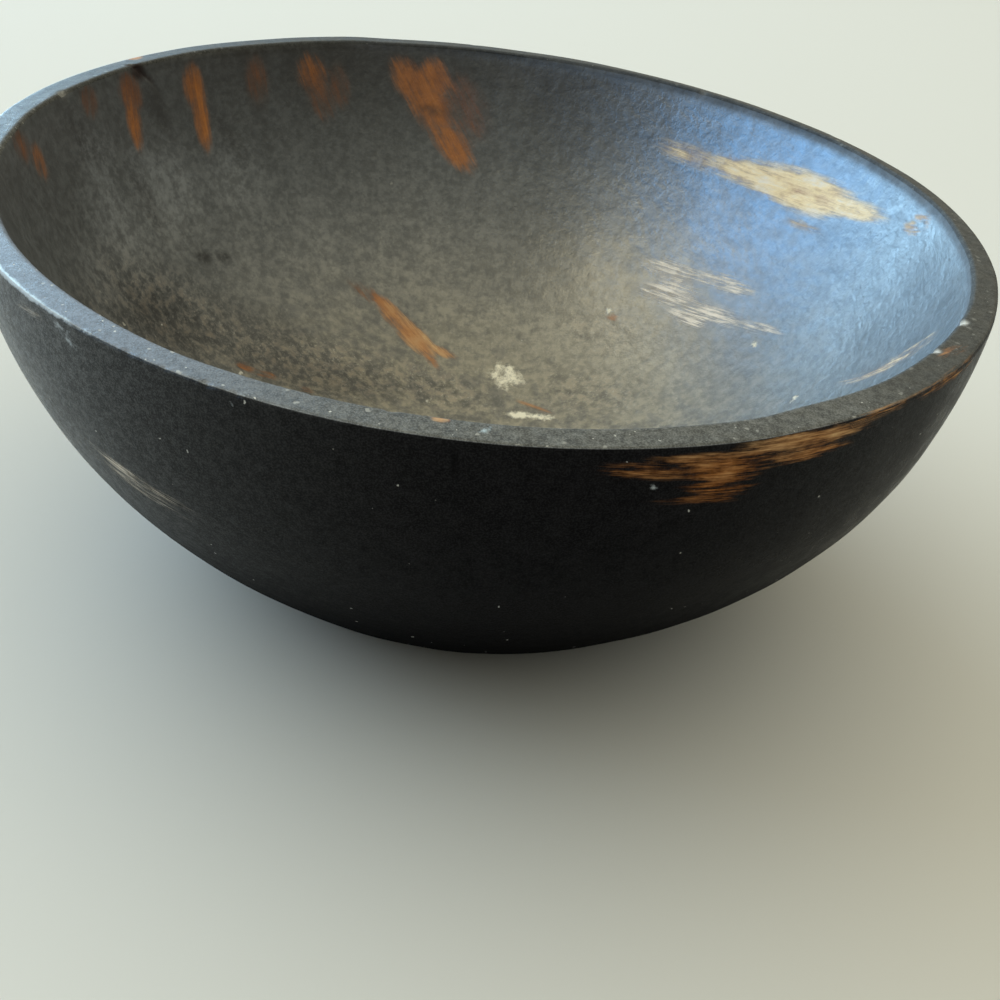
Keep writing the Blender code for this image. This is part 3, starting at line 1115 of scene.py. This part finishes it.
# Lights: azimuth and elevation as seen from the bowl, width and height, colour and radiance
lampAway = 1.6
lampPlan = {
    "window": {"azimuth": 150.0, "elevation": 28.0, "size": (2.4, 1.2),
               "colour": (0.52, 0.77, 1.0), "radiance": 3.1},
    "paneBack": {"azimuth": 135.5, "elevation": 13.0, "size": (0.95, 0.70),
                 "colour": (0.40, 0.72, 1.0), "radiance": 23.5, "sheenOnly": True},
    "paneLeft": {"azimuth": 185.0, "elevation": 17.0, "size": (1.42, 0.84),
                 "colour": (0.19, 0.51, 1.0), "radiance": 20.6, "sheenOnly": True},
    "paneHigh": {"azimuth": 195.0, "elevation": 52.0, "size": (1.1, 0.7),
                 "colour": (1.0, 0.86, 0.5), "radiance": 9.3, "sheenOnly": True},
}
bowlMiddle = Vector((0.0, 0.0, bowlHigh.z / 2))


def addLamp(name, plan):
    data = bpy.data.lights.new(name, "AREA")
    data.shape = "RECTANGLE"
    data.size, data.size_y = plan["size"]
    data.color = plan["colour"]
    data.energy = plan["radiance"] * math.pi * data.size * data.size_y
    level, height = direction(plan["elevation"])
    heading = Vector((*polar(level, math.radians(plan["azimuth"])), height))
    lamp = bpy.data.objects.new(name, data)
    lamp.location = bowlMiddle + heading * lampAway
    lamp.rotation_euler = heading.to_track_quat("Z", "Y").to_euler()
    lamp.visible_diffuse = not plan.get("sheenOnly", False)
    scene.collection.objects.link(lamp)


for lampName, plan in lampPlan.items():
    addLamp(lampName, plan)

# Soft dome round the set: each glow fades away from its axis
domeLight = {
    "fade": (0.1, 0.93),
    "rest": (0.02, 0.02, 0.02, 1),
    "backdrop": (0.55, 0.54, 0.48, 1),  # seen over the floor's far edge and in reflections only
    "backdropTop": (0.12, 0.34),
    "glows": [((0.0, 0.0, 1.0), (0.89, 0.90, 0.77, 1)), ((-0.35, 0.62, 0.70), (0.40, 0.33, 0.175, 1))],
}


def domeWorld(plan):
    world = bpy.data.worlds.new("studio")
    world.use_nodes = True
    nodes = Wiring(world.node_tree)
    heading = nodes.place("TexCoord", {}).outputs["Generated"]
    light = plan["rest"]
    for axis, colour in plan["glows"]:
        facing = nodes.vectors("DOT_PRODUCT", heading, axis)["Value"]
        lit = nodes.mixed(1.0, light, colour, "ADD")
        light = nodes.mixed(nodes.ranged(facing, *plan["fade"]), light, lit)
    rays = nodes.place("LightPath", {}).outputs
    seen = nodes.calc("MAXIMUM", rays["Is Camera Ray"], rays["Is Glossy Ray"])
    seen = nodes.calc("MAXIMUM", seen, rays["Is Transmission Ray"])
    height = nodes.place("SeparateXYZ", {"Vector": heading}).outputs["Z"]
    seen = nodes.times(seen, nodes.ranged(height, *plan["backdropTop"], 1.0, 0.0))
    background = world.node_tree.nodes["Background"]
    nodes.feed(background.inputs["Color"], nodes.mixed(seen, light, plan["backdrop"]))
    return world


scene.world = domeWorld(domeLight)

# Camera at the photograph's viewing angle: it first faces the bowl's base, then turns by small angles
cameraView = {
    "away": 3.40 * bowlForm["rimRadius"],
    "elevation": 33.295,
    "yaw": -1.449,
    "pitch": 1.067,
    "roll": -6.737,
    "lens": 54.0,
    "sensor": 36.0,
}


def addCamera(view):
    data = bpy.data.cameras.new("camera")
    data.lens = view["lens"]
    data.sensor_width = view["sensor"]
    camera = bpy.data.objects.new("camera", data)
    facing = Matrix.Rotation(math.radians(90.0 - view["elevation"]), 4, "X")
    place = facing @ Matrix.Translation((0.0, 0.0, view["away"]))
    for degrees, axis in ((view["yaw"], "Y"), (view["pitch"], "X"), (-view["roll"], "Z")):
        place = place @ Matrix.Rotation(math.radians(degrees), 4, axis)
    camera.matrix_world = place
    scene.collection.objects.link(camera)
    return camera


scene.camera = addCamera(cameraView)
scene.view_settings.view_transform = "Standard"
print("floor, lights and camera set")
